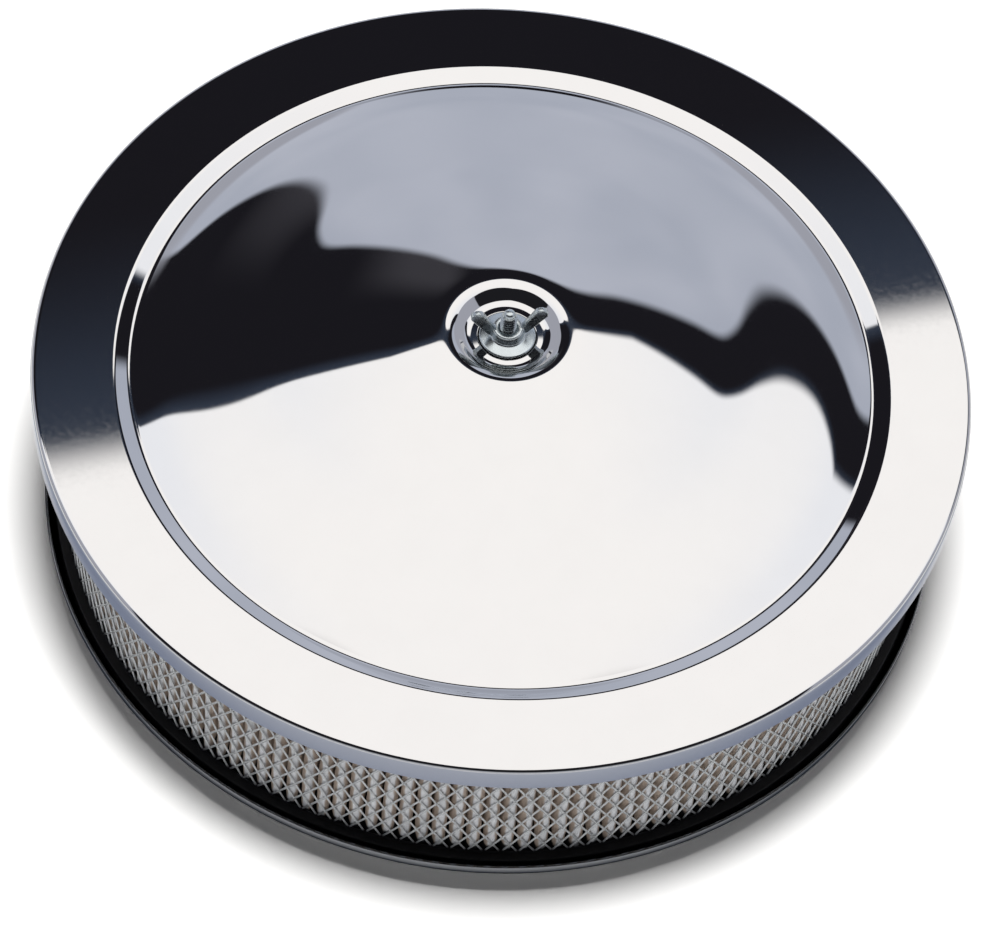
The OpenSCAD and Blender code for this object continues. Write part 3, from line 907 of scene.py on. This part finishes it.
class AIRCLEANER_OT_stud(bpy.types.Operator):
    """Cuts the threaded stud: a core with plain noses and one long ridge wound round it"""
    bl_idname = "aircleaner.stud"
    bl_label = "Threaded stud"

    def execute(self, context):
        s = context.scene.air_cleaner.nut
        root = s.stud - 0.72 * MM
        nose = s.stud - 1.2 * MM
        low, high = s.stud_low, s.stud_high
        core = turned("threaded_stud", [
            (0, low), (nose - 0.4 * MM, low), (nose, low + 0.3 * MM), (root, low + s.nose),
            (root, high - s.nose), (nose, high - 0.5 * MM), (nose - 0.6 * MM, high), (0, high)], 32)
        rest()
        turns = math.floor((high - low - 1.6 * s.nose) / s.pitch) - 1
        start = low + s.nose * 0.8
        ridge = line_piece("ridge", [
            (root - 0.1 * MM, 0, start), (s.stud - 0.03 * MM, 0, start + s.pitch * 0.44),
            (s.stud - 0.03 * MM, 0, start + s.pitch * 0.56), (root - 0.1 * MM, 0, start + s.pitch)])
        bpy.ops.mesh.edge_face_add()
        bpy.ops.mesh.delete(type="ONLY_FACE")
        rest()
        apply(ridge, "SCREW", angle=math.tau, screw_offset=s.pitch, iterations=turns, steps=24,
              render_steps=24, use_merge_vertices=True, merge_threshold=1e-6)
        edit(ridge)
        bpy.ops.mesh.fill_holes(sides=6)
        bpy.ops.mesh.select_all(action="SELECT")
        bpy.ops.mesh.normals_make_consistent(inside=False)
        pick(core, ridge)
        bpy.ops.object.join()
        smooth(core, 40)
        finish(core, bpy.data.materials["bright_zinc"], "cleaner", "zinc_plate", "center_stud")
        return {"FINISHED"}


class AIRCLEANER_OT_finishes(bpy.types.Operator):
    """Mixes the finishes: chrome, zinc, mesh metal, rubber, paper and gasket"""
    bl_idname = "aircleaner.finishes"
    bl_label = "Finishes"

    def execute(self, context):
        cleaner = context.scene.air_cleaner
        s = cleaner.finish
        # painted shade: the lid's lip and the base's rim take darker plating colours that stand for the dim floor
        # they reflect
        chrome("bright_chrome", s.chrome, cleaner.lid.radius, s.lip)
        chrome("base_chrome", s.chrome, cleaner.base.rim - cleaner.base.rim_bend, s.base)
        zinc(s.zinc)
        rubber("moulded_seal", s.rubber, 0.4, 0.7, 500.0)
        rubber("plug_rubber", s.rubber, 0.35, 0.55, 900.0)
        ring = cleaner.ring
        mesh_metal(s.metal, ring.low, opaque(s.rubber))
        depth = ring.outer - ring.inner
        fold_at = ring.lean * depth / (math.tau * ring.outer / ring.pleats) - 0.5
        paper(s.paper, ring.low, opaque(s.rubber), ring.pleats, fold_at)
        gasket(s.gasket)
        return {"FINISHED"}


class AIRCLEANER_PT_panel(bpy.types.Panel):
    """Lists the pieces of the air cleaner"""
    bl_idname = "AIRCLEANER_PT_panel"
    bl_label = "Air cleaner"
    bl_space_type = "VIEW_3D"
    bl_region_type = "UI"
    bl_category = "Air cleaner"

    def draw(self, context):
        for operator in OPERATORS:
            self.layout.operator(operator.bl_idname)


GROUPS = (LidSizes, BaseSizes, FilterSizes, NutSizes, Finishes, StageSettings, AirCleaner)
OPERATORS = (
    AIRCLEANER_OT_stage, AIRCLEANER_OT_finishes, AIRCLEANER_OT_lid, AIRCLEANER_OT_base, AIRCLEANER_OT_paper,
    AIRCLEANER_OT_mesh, AIRCLEANER_OT_seals, AIRCLEANER_OT_nut, AIRCLEANER_OT_stud,
)


def register():
    for item in GROUPS + OPERATORS + (AIRCLEANER_PT_panel,):
        bpy.utils.register_class(item)
    bpy.types.Scene.air_cleaner = bpy.props.PointerProperty(type=AirCleaner)


def unregister():
    del bpy.types.Scene.air_cleaner
    for item in reversed(GROUPS + OPERATORS + (AIRCLEANER_PT_panel,)):
        bpy.utils.unregister_class(item)


def main():
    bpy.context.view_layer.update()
    register()
    for operator in OPERATORS:
        family, name = operator.bl_idname.split(".")
        getattr(getattr(bpy.ops, family), name)()


if __name__ == "__main__":
    main()
